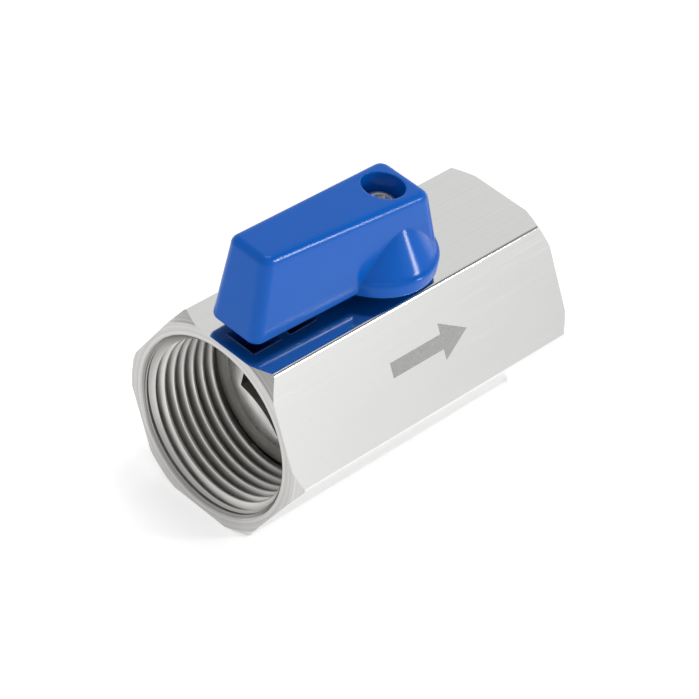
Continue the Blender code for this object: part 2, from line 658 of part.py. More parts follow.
def build_valve():
    """Every piece of the valve, each with its material."""
    finish(build_body(), "polished_stainless_bar", STEEL, 1.0, 0.15)
    finish(build_retainer(), "turned_stainless_ring", STEEL, 1.0, 0.3)
    finish(build_seat("seat_ring_inlet", -1), "ptfe_inlet_seat", SEAT_WHITE, 0.0, 0.45)
    finish(build_seat("seat_ring_outlet", 1), "ptfe_outlet_seat", SEAT_WHITE, 0.0, 0.45)
    finish(build_ball(), "mirror_polished_ball", BRIGHT_STEEL, 1.0, 0.05)
    finish(build_stem(), "turned_stainless_stem", STEEL, 1.0, 0.25)
    finish(build_washer(), "filled_ptfe_washer", FILLED_WHITE, 0.0, 0.5)
    finish(build_o_ring(), "nitrile_o_ring", RUBBER_BLACK, 0.0, 0.6)
    finish(build_pin(), "ground_stainless_pin", STEEL, 1.0, 0.2)
    finish(build_handle(), "moulded_blue_nylon", LEVER_BLUE, 0.0, 0.3)
    finish(build_screw(), "plated_steel_screw", DARK_STEEL, 1.0, 0.3)


build_valve()
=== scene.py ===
"""Looks of the mini ball valve: polished hexagonal body, threaded sockets, blue lever."""

import logging
import math
from dataclasses import dataclass
from enum import Enum, IntEnum
from typing import Callable, Iterable, Sequence

import bmesh
import bpy
from mathutils import Matrix, Vector


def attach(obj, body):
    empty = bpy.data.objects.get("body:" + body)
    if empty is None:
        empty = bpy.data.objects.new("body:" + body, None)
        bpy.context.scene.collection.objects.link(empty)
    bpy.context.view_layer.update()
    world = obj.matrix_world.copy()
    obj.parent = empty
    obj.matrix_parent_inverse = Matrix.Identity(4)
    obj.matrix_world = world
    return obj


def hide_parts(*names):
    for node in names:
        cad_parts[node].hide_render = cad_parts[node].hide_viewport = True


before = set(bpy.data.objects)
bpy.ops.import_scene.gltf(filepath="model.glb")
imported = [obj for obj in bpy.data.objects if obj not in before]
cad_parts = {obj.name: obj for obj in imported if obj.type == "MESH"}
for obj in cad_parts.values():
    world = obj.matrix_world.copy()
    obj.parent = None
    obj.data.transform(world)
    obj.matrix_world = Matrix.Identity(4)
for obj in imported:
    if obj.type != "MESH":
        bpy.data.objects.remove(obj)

LOG = logging.getLogger("valve")
MM = 0.001
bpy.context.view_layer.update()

Point = tuple[float, float]
Colour = tuple[float, float, float, float]

ACROSS_FLATS = 29.0  # all sizes below are millimetres
AXIS_Z = ACROSS_FLATS / 2
STEM_X = 0.5
STOP_PIN_PLACE = (5.5205, 5.0205)
ABOVE_TOP_FLAT = 31.0  # a height clear of the body's top flat, where its cutters start
ABOVE_LEVER = 50.0  # a height clear of the lever
BELOW_LEVER = 29.6  # a height clear of the lever's underside
SMOOTH_BELOW = 24.0  # degrees between faces that are still shaded as one surface
ALONG_PIPE = Matrix.Rotation(math.radians(90), 4, "Y")
TO_METRES = Matrix.Scale(MM, 4)


class Zone(IntEnum):
    """The body's surfaces, as the numbers of its material slots."""

    FLAT = 0
    INLET_CHAMFER = 1
    END_FACE = 2
    THREAD = 3
    BORE = 4
    OUTLET_CHAMFER = 5
    LOWER_FLAT = 6


class Slot(Enum):
    """The record's material slots."""

    POLISHED = "polished_stainless"
    TURNED = "turned_stainless"
    BALL = "mirror_ball"
    PTFE = "ptfe"
    RUBBER = "nitrile"
    BLUE = "blue_nylon"
    SCREW = "plated_steel"


# ---------------------------------------------------------------- small tools


def linear(code: str) -> Colour:
    """Turns an sRGB hex colour into a linear one.

    Args:
        code: Six hex digits.

    Returns:
        Red, green, blue and alpha, linear.
    """
    parts = [int(code[i : i + 2], 16) / 255 for i in (0, 2, 4)]
    values = [c / 12.92 if c <= 0.04045 else ((c + 0.055) / 1.055) ** 2.4 for c in parts]
    return (values[0], values[1], values[2], 1.0)


def add_node(tree: bpy.types.NodeTree, kind: str, settings: dict | None = None,
             links: dict | None = None) -> bpy.types.Node:
    """Adds one node.

    Args:
        tree: Node tree it goes into.
        kind: The node's type name.
        settings: Property or input name, or input number, to value.
        links: Input name or number to the socket that feeds it.

    Returns:
        The new node.
    """
    node = tree.nodes.new(kind)
    for key, value in (settings or {}).items():
        if isinstance(key, str) and hasattr(node, key):
            setattr(node, key, value)
        else:
            node.inputs[key].default_value = value
    for key, socket in (links or {}).items():
        tree.links.new(socket, node.inputs[key])
    return node


def piece_from(name: str, bm: bmesh.types.BMesh) -> bpy.types.Object:
    """Makes a scene object of a bmesh whose sizes are millimetres.

    Args:
        name: The object's name.
        bm: The bmesh, which is freed.

    Returns:
        The object, at the origin.
    """
    bmesh.ops.remove_doubles(bm, verts=bm.verts, dist=1e-4)
    bmesh.ops.recalc_face_normals(bm, faces=bm.faces)
    bm.transform(TO_METRES)
    mesh = bpy.data.meshes.new(name)
    bm.to_mesh(mesh)
    bm.free()
    obj = bpy.data.objects.new(name, mesh)
    bpy.context.scene.collection.objects.link(obj)
    return obj


def spun(profile: Sequence[Point], steps: int, along_pipe: bool = False,
         centre: Sequence[float] = (0.0, 0.0, 0.0), turn: float = 0.0) -> bmesh.types.BMesh:
    """Spins a profile of (radius, height) points about an upright axis, or about the pipe's.

    Args:
        profile: Points in order; one that starts off the axis closes on itself.
        steps: Facets round.
        along_pipe: Whether heights run along +X in place of +Z.
        centre: Where the axis stands.
        turn: Angle that the facets are turned by.

    Returns:
        The closed shape.
    """
    bm = bmesh.new()
    verts = [bm.verts.new((radius, 0, height)) for radius, height in profile]
    edges = [bm.edges.new(pair) for pair in zip(verts, verts[1:])]
    if profile[0][0] > 0:
        edges.append(bm.edges.new((verts[-1], verts[0])))
    bmesh.ops.spin(bm, geom=verts + edges, cent=(0, 0, 0), axis=(0, 0, 1), dvec=(0, 0, 0),
                   angle=math.tau, steps=steps, use_merge=True)
    bmesh.ops.remove_doubles(bm, verts=bm.verts, dist=1e-5)
    bmesh.ops.recalc_face_normals(bm, faces=bm.faces)
    place = Matrix.Translation(centre)
    if along_pipe:
        place = place @ ALONG_PIPE
    bm.transform(place @ Matrix.Rotation(turn, 4, "Z"))
    return bm


def prism(sides: int, flats: float, low: float, high: float, place: Matrix) -> bmesh.types.BMesh:
    """A regular prism between two heights of its own axis.

    Args:
        sides: Number of sides.
        flats: Distance across them.
        low: Lower end.
        high: Upper end.
        place: Where the prism's own frame stands.

    Returns:
        The prism.
    """
    bm = bmesh.new()
    corner = flats / 2 / math.cos(math.pi / sides)
    bmesh.ops.create_cone(bm, cap_ends=True, segments=sides, radius1=corner, radius2=corner,
                          depth=high - low, matrix=place @ Matrix.Translation((0, 0, (low + high) / 2)))
    return bm


def block(low: Sequence[float], high: Sequence[float], place: Matrix) -> bmesh.types.BMesh:
    """A rectangular block between two corners of its own frame."""
    bm = bmesh.new()
    first, last = Vector(low), Vector(high)
    size = Matrix.Diagonal((*(last - first), 1))
    bmesh.ops.create_cube(bm, size=1, matrix=place @ Matrix.Translation((first + last) / 2) @ size)
    return bm


def slab(outline: Sequence[Point], low: float, thick: float) -> bmesh.types.BMesh:
    """A flat outline raised from one height by a thickness."""
    bm = bmesh.new()
    face = bm.faces.new([bm.verts.new((x, y, low)) for x, y in outline])
    raised = bmesh.ops.extrude_face_region(bm, geom=[face])
    top = [item for item in raised["geom"] if isinstance(item, bmesh.types.BMVert)]
    bmesh.ops.translate(bm, vec=(0, 0, thick), verts=top)
    bmesh.ops.recalc_face_normals(bm, faces=bm.faces)
    return bm


def arc(centre: Point, radius: float, first: float, last: float, steps: int) -> list[Point]:
    """Points of a circular arc between two angles in degrees."""
    angles = [math.radians(first + (last - first) * i / steps) for i in range(steps + 1)]
    return [(centre[0] + radius * math.cos(a), centre[1] + radius * math.sin(a)) for a in angles]


def bevelled(bm: bmesh.types.BMesh, chosen: Callable[[bmesh.types.BMEdge], bool], width: float,
             segments: int) -> None:
    """Rounds the edges that a test picks out.

    Args:
        bm: Mesh that changes.
        chosen: Says whether an edge is rounded.
        width: Distance from the edge at which the rounding starts.
        segments: Faces across the rounding.
    """
    edges = [edge for edge in bm.edges if chosen(edge)]
    bmesh.ops.bevel(bm, geom=edges, offset=width, offset_type="OFFSET", segments=segments,
                    profile=0.5, affect="EDGES", material=-1, clamp_overlap=False)


def carved(name: str, base: bmesh.types.BMesh,
           steps: Iterable[tuple[str, bmesh.types.BMesh]]) -> bpy.types.Object:
    """Joins, intersects or cuts a shape with others, in order.

    Args:
        name: The finished object's name.
        base: The shape that is worked on.
        steps: Pairs of a Boolean operation and the shape it uses.

    Returns:
        The object, holding the result as its plain mesh.
    """
    obj = piece_from(name, base)
    helpers = []
    for operation, tool in steps:
        helper = piece_from(f"{name}_tool", tool)
        modifier = obj.modifiers.new("carve", "BOOLEAN")
        modifier.operation = operation
        modifier.solver = "EXACT"
        modifier.object = helper
        helpers.append(helper)
    bpy.context.view_layer.update()
    graph = bpy.context.evaluated_depsgraph_get()
    mesh = bpy.data.meshes.new_from_object(obj.evaluated_get(graph))
    obj.modifiers.clear()
    obj.data = mesh
    for helper in helpers:
        bpy.data.objects.remove(helper)
    return obj


def shade(obj: bpy.types.Object, sharp: float = 30.0) -> None:
    """Shades a piece smooth between its crisp edges, flats staying flat.

    Args:
        obj: The piece.
        sharp: Angle in degrees over which an edge stays crisp.
    """
    obj.data.shade_smooth()
    obj.data.set_sharp_from_angle(angle=math.radians(sharp))
    weighted = obj.modifiers.new("flats", "WEIGHTED_NORMAL")
    weighted.keep_sharp = True
    weighted.weight = 80


def install(obj: bpy.types.Object, body: str, node: str) -> None:
    """Makes a finished piece ride on its body in the place of its CAD node.

    Args:
        obj: The piece.
        body: Body it rides on.
        node: CAD node that it stands for.
    """
    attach(obj, body)
    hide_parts(node)
    LOG.info("%s: %d faces, stands for %s", obj.name, len(obj.data.polygons), node)


# ---------------------------------------------------------------- finishes


@dataclass
class Bench:
    """An open material: its tree, its main shader and the piece's own coordinates."""

    material: bpy.types.Material
    tree: bpy.types.NodeTree
    shader: bpy.types.Node
    coords: bpy.types.NodeSocket

    def noise(self, scale_mm: Sequence[float], detail: float = 3.0) -> bpy.types.NodeSocket:
        """Noise whose grain is this long along X, Y and Z.

        Args:
            scale_mm: Grain size along each axis.
            detail: Octaves.

        Returns:
            The noise's value.
        """
        scale = tuple(1 / (size * MM) for size in scale_mm)
        stretch = add_node(self.tree, "ShaderNodeMapping", {"Scale": scale}, {"Vector": self.coords})
        noise = add_node(self.tree, "ShaderNodeTexNoise", {"Scale": 1.0, "Detail": detail},
                         {"Vector": stretch.outputs[0]})
        return noise.outputs["Fac"]

    def radius(self, upright: bool = False) -> bpy.types.NodeSocket:
        """Distance from the pipe's axis, or from the stem's."""
        keep, move = ((1, 1, 0), (-STEM_X * MM, 0, 0)) if upright else ((0, 1, 1), (0, 0, -AXIS_Z * MM))
        flat = add_node(self.tree, "ShaderNodeMapping", {"Scale": keep, "Location": move},
                        {"Vector": self.coords})
        length = add_node(self.tree, "ShaderNodeVectorMath", {"operation": "LENGTH"},
                          {0: flat.outputs[0]})
        return length.outputs["Value"]

    def along(self, upright: bool = False) -> bpy.types.NodeSocket:
        """Distance along the pipe, or up the stem."""
        split = add_node(self.tree, "ShaderNodeSeparateXYZ", {}, {0: self.coords})
        return split.outputs["Z" if upright else "X"]

    def rings(self, spacing_mm: float, upright: bool = False) -> bpy.types.NodeSocket:
        """Tool marks of a lathe: uneven rings round an axis, on faces and on sides alike.

        Args:
            spacing_mm: Usual distance between marks.
            upright: Whether the axis is the stem's.

        Returns:
            The marks' height.
        """
        total = add_node(self.tree, "ShaderNodeMath", {"operation": "ADD"},
                         {0: self.radius(upright), 1: self.along(upright)})
        scaled = add_node(self.tree, "ShaderNodeMath",
                          {"operation": "MULTIPLY", 1: 1 / (spacing_mm * MM)}, {0: total.outputs[0]})
        noise = add_node(self.tree, "ShaderNodeTexNoise",
                         {"noise_dimensions": "1D", "Scale": 1.0, "Detail": 2.0},
                         {"W": scaled.outputs[0]})
        return noise.outputs["Fac"]

    def spread(self, value: bpy.types.NodeSocket, source: Point, target: Point) -> bpy.types.NodeSocket:
        """Maps a value from one range to another."""
        node = add_node(self.tree, "ShaderNodeMapRange",
                        {"From Min": source[0], "From Max": source[1],
                         "To Min": target[0], "To Max": target[1]}, {"Value": value})
        return node.outputs[0]

    def blend(self, share: bpy.types.NodeSocket, first: str, second: str) -> bpy.types.NodeSocket:
        """Mixes two sRGB hex colours by a share."""
        node = add_node(self.tree, "ShaderNodeMix",
                        {"data_type": "RGBA", 6: linear(first), 7: linear(second)}, {0: share})
        return node.outputs[2]

    def relief(self, height: bpy.types.NodeSocket, depth_mm: float, strength: float,
               under: bpy.types.NodeSocket | None = None) -> bpy.types.NodeSocket:
        """Bump of a depth in millimetres, over another normal where one is given."""
        node = add_node(self.tree, "ShaderNodeBump", {"Strength": strength, "Distance": depth_mm * MM},
                        {"Height": height})
        if under is not None:
            self.tree.links.new(under, node.inputs["Normal"])
        return node.outputs["Normal"]

    def feed(self, **sockets: bpy.types.NodeSocket) -> bpy.types.Material:
        """Links sockets to the main shader's inputs, spaces in their names as underscores.

        Returns:
            The finished material.
        """
        for key, socket in sockets.items():
            self.tree.links.new(socket, self.shader.inputs[key.replace("_", " ")])
        return self.material


@dataclass(frozen=True)
class Finish:
    """What every finish has: a name, and whether it is a metal."""

    name: str
    metallic: float = 1.0

    def bench(self) -> Bench:
        """Opens the material."""
        material = bpy.data.materials.new(self.name)
        material.use_nodes = True
        tree = material.node_tree
        shader = tree.nodes["Principled BSDF"]
        shader.inputs["Metallic"].default_value = self.metallic
        coords = add_node(tree, "ShaderNodeTexCoord")
        return Bench(material, tree, shader, coords.outputs["Object"])

    def make(self) -> bpy.types.Material:
        """Builds the material."""
        raise NotImplementedError


@dataclass(frozen=True)
class PolishedBar(Finish):
    """Drawn stainless bar, belt ground along its length and buffed: a mirror with faint long lines."""

    light: str = "DEDEDD"
    dark: str = "D4D4D3"
    roughness: Point = (0.07, 0.13)
    line_mm: tuple[float, float, float] = (16.0, 0.35, 0.35)
    wave_mm: float = 7.0

    def make(self) -> bpy.types.Material:
        """Builds the material.

        Returns:
            Stainless with faint grinding lines and a soft wave in its flats.
        """
        bench = self.bench()
        lines = bench.noise(self.line_mm, 4.0)
        wave = bench.noise((self.wave_mm * 2, self.wave_mm, self.wave_mm), 1.0)
        soft = bench.relief(wave, 0.010, 0.2)
        return bench.feed(Base_Color=bench.blend(lines, self.light, self.dark),
                          Roughness=bench.spread(lines, (0.35, 0.7), self.roughness),
                          Normal=bench.relief(lines, 0.00018, 0.2, soft))


@dataclass(frozen=True)
class TurnedMetal(Finish):
    """Metal straight off the lathe: fine rings that catch the light, and a little tone between them."""

    light: str = "C6C5C2"
    dark: str = "A9A8A5"
    roughness: Point = (0.22, 0.38)
    spacing_mm: float = 0.42  # wider than a usual lathe feed, which would be too fine to show
    depth_mm: float = 0.003
    upright: bool = False

    def make(self) -> bpy.types.Material:
        """Builds the material.

        Returns:
            Metal with tool marks round the axis.
        """
        bench = self.bench()
        marks = bench.rings(self.spacing_mm, self.upright)
        patches = bench.noise((3.0, 3.0, 3.0), 2.0)
        return bench.feed(Base_Color=bench.blend(bench.spread(marks, (0.3, 0.7), (0.0, 1.0)),
                                                 self.light, self.dark),
                          Roughness=bench.spread(patches, (0.3, 0.7), self.roughness),
                          Normal=bench.relief(marks, self.depth_mm, 0.5))


@dataclass(frozen=True)
class CutThreadPaintedRootShade(Finish):
    """Thread cut in stainless: bright crests, and roots painted darker as painted shade in the grooves.
    """

    # crest is the steel's colour; root is painted shade, the colour the grooves darken to.
    crest: str = "DEDDDA"
    root: str = "9A9896"
    crest_mm: float = 12.06
    root_mm: float = 13.22
    spacing_mm: float = 0.5
    roughness: Point = (0.34, 0.42)

    def make(self) -> bpy.types.Material:
        """Builds the material.

        Returns:
            Metal painted darker from crest to root: painted shade in the grooves.
        """
        bench = self.bench()
        # Painted shade: the colour darkens with the radius, from the crests down into the roots.
        depth = bench.spread(bench.radius(), (self.crest_mm * MM, self.root_mm * MM), (0.0, 1.0))
        marks = bench.rings(self.spacing_mm)
        patches = bench.noise((2.5, 2.5, 2.5), 2.0)
        return bench.feed(Base_Color=bench.blend(depth, self.crest, self.root),
                          Roughness=bench.spread(patches, (0.3, 0.7), self.roughness),
                          Normal=bench.relief(marks, 0.001, 0.15))


@dataclass(frozen=True)
class MouldedPlastic(Finish):
    """Glass filled nylon, injection moulded in a polished tool: glossy, with a faint orange peel."""

    colour: str = "0056B2"
    shade: str = "0052AA"
    roughness: Point = (0.12, 0.18)
    gloss: float = 0.17
    rounding_mm: float = 0.4
    peel_mm: float = 0.9

    def make(self) -> bpy.types.Material:
        """Builds the material.

        Returns:
            Coloured plastic whose sharp joins are softened as a mould softens them.
        """
        bench = self.bench()
        bench.shader.inputs["Specular IOR Level"].default_value = self.gloss
        drift = bench.noise((4.0, 4.0, 4.0), 2.0)
        peel = bench.noise((self.peel_mm,) * 3, 2.0)
        soft = add_node(bench.tree, "ShaderNodeBevel", {"samples": 6, "Radius": self.rounding_mm * MM})
        return bench.feed(Base_Color=bench.blend(drift, self.colour, self.shade),
                          Roughness=bench.spread(drift, (0.3, 0.7), self.roughness),
                          Normal=bench.relief(peel, 0.004, 0.06, soft.outputs[0]))


@dataclass(frozen=True)
class SoftMoulding(Finish):
    """Anything matt with a fine grain: PTFE, rubber, an etched mark, the studio's floor."""

    colour: str = "EDEBE4"
    shade: str = "E2DFD6"
    roughness: Point = (0.42, 0.55)
    grain_mm: float = 0.4
    glow: float = 0.0

    def make(self) -> bpy.types.Material:
        """Builds the material.

        Returns:
            A matt material with a fine grain, giving off its own light where glow is above 0.
        """
        bench = self.bench()
        bench.shader.inputs["Emission Color"].default_value = linear("FFFFFF")
        bench.shader.inputs["Emission Strength"].default_value = self.glow
        grain = bench.noise((self.grain_mm,) * 3, 3.0)
        return bench.feed(Base_Color=bench.blend(grain, self.colour, self.shade),
                          Roughness=bench.spread(grain, (0.3, 0.7), self.roughness),
                          Normal=bench.relief(grain, 0.01, 0.3))


BAR = PolishedBar("stainless_bar_belt_ground")
# The same steel as BAR painted darker on the flats that face downward: painted shade, standing in for a
# dimmer reflection of the floor.
BAR_UNDERSIDE_PAINTED_SHADE = PolishedBar("stainless_bar_underside_painted_shade", light="C2C2C1", dark="B7B7B6",
                            roughness=(0.1, 0.17))
CHAMFER = TurnedMetal("stainless_turned_chamfer", light="C2C1BF", dark="B1B0AE", roughness=(0.16, 0.24),
                      depth_mm=0.002)
# The same steel as CHAMFER painted darker on the outlet end: a painted dark reflection.
FAR_CHAMFER_PAINTED_REFLECTION = TurnedMetal("stainless_turned_chamfer_painted_dark_reflection", light="77797D", dark="56585D",
                          roughness=(0.14, 0.22), depth_mm=0.002)
END_FACE = TurnedMetal("stainless_faced_end", light="C4C3C1", dark="ADACAA", roughness=(0.28, 0.4))
THREAD = CutThreadPaintedRootShade("stainless_cut_thread_painted_root_shade")
BORE = TurnedMetal("stainless_bored_wall", light="9B9A98", dark="838280", roughness=(0.3, 0.45))
RING_FACE = TurnedMetal("stainless_ring_face", light="D6D5D2", dark="C2C1BE", roughness=(0.42, 0.52))
RING_DISH = TurnedMetal("stainless_ring_dish", light="D0CFCD", dark="BEBDBB", roughness=(0.22, 0.32))
RING_SOCKET = TurnedMetal("stainless_broached_socket", light="989795", dark="868583",
                          roughness=(0.35, 0.45))
BALL_MIRROR = PolishedBar("ball_mirror_polish", light="F0EFED", dark="E6E5E3", roughness=(0.03, 0.06),
                          line_mm=(2.0, 2.0, 2.0))
STEM_METAL = TurnedMetal("stainless_turned_stem", upright=True)
PIN_METAL = TurnedMetal("stainless_ground_pin", light="D0CFCD", dark="BCBBB9", upright=True)
SCREW_METAL = TurnedMetal("zinc_plated_screw", light="F2EFE8", dark="C9C6BF", roughness=(0.3, 0.45),
                          upright=True)
LEVER_BLUE = MouldedPlastic("nylon_moulded_blue", metallic=0.0)
SEAT_WHITE = SoftMoulding("ptfe_skived_seat", metallic=0.0)
WASHER_WHITE = SoftMoulding("ptfe_filled_washer", metallic=0.0, colour="CFC9BB", shade="BDB7A8")
SEAL_BLACK = SoftMoulding("nitrile_moulded_seal", metallic=0.0, colour="161616", shade="1E1E1E")
ETCHED = SoftMoulding("stainless_etched_mark", metallic=0.6, colour="8E8E8C", shade="828280",
                      roughness=(0.5, 0.62), grain_mm=0.3)
PAPER = SoftMoulding("studio_light_table", metallic=0.0, colour="F4F4F4", shade="F2F2F2",
                     roughness=(0.85, 0.95), grain_mm=2.0, glow=0.4)


# ---------------------------------------------------------------- body


@dataclass
class ValveBody:
    """Hexagonal bar body: chamfered ends, a threaded socket in each, chamber, stem bore, pin hole."""

    length: float = 55.0
    edge_round: float = 0.34
    end_radius: float = 15.3
    pitch: float = 1.814
    crest: float = 12.06
    root: float = 13.22
    mouth: Point = (13.4, 13.05)
    mouth_depth: Point = (0.5, 0.95)
    socket: float = 13.1
    relief: float = 1.9
    ring_bore: float = 12.8
    chamber: float = 9.9
    passage: float = 7.0
    turns_ahead: float = 0.5
    steps: int = 96
    chamber_x: Point = (-8.096, 9.246)
    stem_bores: Point = (3.8, 5.3)
    counterbore_z: float = 26.9
    inside_chamber: float = 19.0
    pin_hole_radius: float = 1.35
    pin_hole_floor: float = 26.85

    @property
    def half(self) -> float:
        """Half the body's length."""
        return self.length / 2

    def bar(self) -> bmesh.types.BMesh:
        """Hexagonal bar, longer than the body, its long edges rounded by polishing."""
        place = Matrix.Translation((0, 0, AXIS_Z)) @ ALONG_PIPE
        bm = prism(6, ACROSS_FLATS, -self.half - 1, self.half + 1, place)
        bevelled(bm, lambda e: abs(e.verts[0].co.x - e.verts[1].co.x) > self.half, self.edge_round, 5)
        return bm

    def blank(self) -> bmesh.types.BMesh:
        """Turned envelope that faces the bar to length and chamfers its corners."""
        run = 3.0
        ends = [(0.0, 0.0), (self.end_radius, 0.0), (self.end_radius + run, run)]
        profile = [(r, self.half - d) for r, d in ends] + [(r, d - self.half) for r, d in ends[::-1]]
        return spun(profile, 240, True, (0, 0, AXIS_Z))

    def waterway(self) -> bmesh.types.BMesh:
        """Everything bored along the pipe."""
        wide, narrow = self.mouth
        lip, ease = 0.12, 0.3
        lead = self.mouth_depth[1] + narrow - self.crest
        mouth = [(wide + lip + 1, -1.0), (wide, lip), (narrow, self.mouth_depth[0]),
                 (narrow, self.mouth_depth[1]), (self.crest, lead)]
        floor = self.half - self.socket
        out_x, in_x = self.chamber_x[1], self.chamber_x[0]
        profile = [(0, self.half + 1)] + [(r, self.half - d) for r, d in mouth]
        profile += [
            (self.crest, floor + self.relief + 0.5), (wide, floor + self.relief),
            (wide, floor + ease), (wide - ease, floor), (self.passage + ease, floor),
            (self.passage, floor - ease), (self.passage, out_x), (self.chamber, out_x),
            (self.chamber, in_x), (self.ring_bore, in_x), (self.ring_bore, -floor - ease),
            (self.crest, -floor - ease),
        ]
        profile += [(r, d - self.half) for r, d in mouth[::-1]] + [(0, -self.half - 1)]
        return spun(profile, self.steps, True, (0, 0, AXIS_Z), 0.35 * math.tau / self.steps)

    def groove(self, deepest: float) -> bmesh.types.BMesh:
        """Right-hand thread groove with a rounded root and eased crests, from outside the mouth.

        Args:
            deepest: Where it ends, measured from the mouth.

        Returns:
            The groove as a solid, inlet end.
        """
        eased = [(self.crest - 0.3, 0.88), (self.crest, 0.85), (self.crest + 0.05, 0.76),
                 (self.crest + 0.16, 0.66), (self.root - 0.14, 0.19), (self.root - 0.04, 0.11)]
        section = [(r, -w) for r, w in eased] + [(self.root, 0.0)] + [(r, w) for r, w in eased[::-1]]
        start = -self.turns_ahead * self.pitch
        count = round((deepest - start) / self.pitch * self.steps)
        bm = bmesh.new()
        verts = [bm.verts.new((start - self.half + w, 0, r)) for r, w in section]
        face = bm.faces.new(verts)
        bmesh.ops.spin(bm, geom=[face] + list(face.edges) + verts, cent=(0, 0, 0), axis=(1, 0, 0),
                       dvec=(self.pitch / self.steps, 0, 0), angle=math.tau * count / self.steps,
                       steps=count)
        bmesh.ops.recalc_face_normals(bm, faces=bm.faces)
        bm.transform(Matrix.Translation((0, 0, AXIS_Z)))
        return bm

    def outlet_groove(self) -> bmesh.types.BMesh:
        """The same groove, turned round to the outlet."""
        bm = self.groove(self.socket - self.pitch / 2)
        bm.transform(Matrix.Rotation(math.pi, 4, "Z"))
        return bm

    def stem_bore(self) -> bmesh.types.BMesh:
        """Bore and counterbore for the stem, with a broken edge at the top flat."""
        small, large = self.stem_bores
        flare = 2.2
        profile = [(0, ABOVE_TOP_FLAT), (small + flare, ABOVE_TOP_FLAT), (small, ABOVE_TOP_FLAT - flare),
                   (small, self.counterbore_z), (large, self.counterbore_z),
                   (large, self.inside_chamber), (0, self.inside_chamber)]
        return spun(profile, 64, False, (STEM_X, 0, 0))

    def pin_hole(self) -> bmesh.types.BMesh:
        """Blind hole for the travel stop."""
        radius, low = self.pin_hole_radius, self.pin_hole_floor
        profile = [(0, ABOVE_TOP_FLAT), (radius, ABOVE_TOP_FLAT), (radius, low), (0, low)]
        return spun(profile, 32, False, (*STOP_PIN_PLACE, 0))

    def zone(self, centre: Vector, normal: Vector) -> Zone:
        """Says which finish a face has.

        Args:
            centre: The face's middle, millimetres from the pipe's axis.
            normal: Its direction.

        Returns:
            The surface it belongs to.
        """
        bore_margin, crest_margin, floor_margin, end_margin, tilt = 0.25, 0.2, 0.05, 0.01, 0.3
        radius = math.hypot(centre.y, centre.z)
        from_end = self.half - abs(centre.x)
        if radius < self.root + bore_margin:
            in_socket = 0.0 < from_end < self.socket - floor_margin
            return Zone.THREAD if in_socket and radius > self.crest - crest_margin else Zone.BORE
        if from_end < end_margin:
            return Zone.END_FACE
        # Flats facing downward take the steel with painted shade.
        if abs(normal.x) < tilt:
            return Zone.LOWER_FLAT if normal.z < -tilt else Zone.FLAT
        # The outlet chamfer takes the steel with a painted dark reflection.
        return Zone.INLET_CHAMFER if centre.x < 0 else Zone.OUTLET_CHAMFER

    def dress(self, obj: bpy.types.Object) -> None:
        """Gives each surface its finish, the finishes in the order of Zone."""
        for finish in (BAR, CHAMFER, END_FACE, THREAD, BORE, FAR_CHAMFER_PAINTED_REFLECTION, BAR_UNDERSIDE_PAINTED_SHADE):
            obj.data.materials.append(finish.make())
        for face in obj.data.polygons:
            centre = Vector(face.center) / MM - Vector((0, 0, AXIS_Z))
            face.material_index = int(self.zone(centre, face.normal))

    def build(self) -> None:
        """Builds the body and puts it in place."""
        steps = [("INTERSECT", self.blank()), ("DIFFERENCE", self.waterway()),
                 ("DIFFERENCE", self.groove(self.socket + 1.1)), ("DIFFERENCE", self.outlet_groove()),
                 ("DIFFERENCE", self.stem_bore()), ("DIFFERENCE", self.pin_hole())]
        obj = carved("body_bar", self.bar(), steps)
        self.dress(obj)
        shade(obj, SMOOTH_BELOW)
        install(obj, "valve", "valve_body")


@dataclass
class FlowMark:
    """Plain etched arrow on the body's side flat, along the flow."""

    length: float = 15.0
    head: float = 5.0
    shaft_half: float = 1.1
    head_half: float = 2.7
    start_x: float = -6.5
    down_flat: float = 7.9
    thick: float = 0.012
    lift: float = 0.003

    def build(self) -> None:
        """Builds the mark a hair above the flat."""
        tip, neck = self.start_x + self.length, self.start_x + self.length - self.head
        half = [(self.start_x, self.shaft_half), (neck, self.shaft_half), (neck, self.head_half),
                (tip, 0.0)]
        outline = half + [(x, -y) for x, y in half[-2::-1]]
        bm = slab(outline, self.lift, self.thick)
        tilt = Matrix.Rotation(math.radians(60), 4, "X")
        corner = Vector((0, -ACROSS_FLATS / 2 / math.sqrt(3), ACROSS_FLATS))
        down = Vector((0, -0.5, -math.sqrt(0.75)))
        bm.transform(Matrix.Translation(corner + down * self.down_flat) @ tilt)
        obj = piece_from("flow_mark", bm)
        obj.data.materials.append(ETCHED.make())
        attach(obj, "valve")
        LOG.info("%s: etched arrow", obj.name)


# ---------------------------------------------------------------- waterway pieces


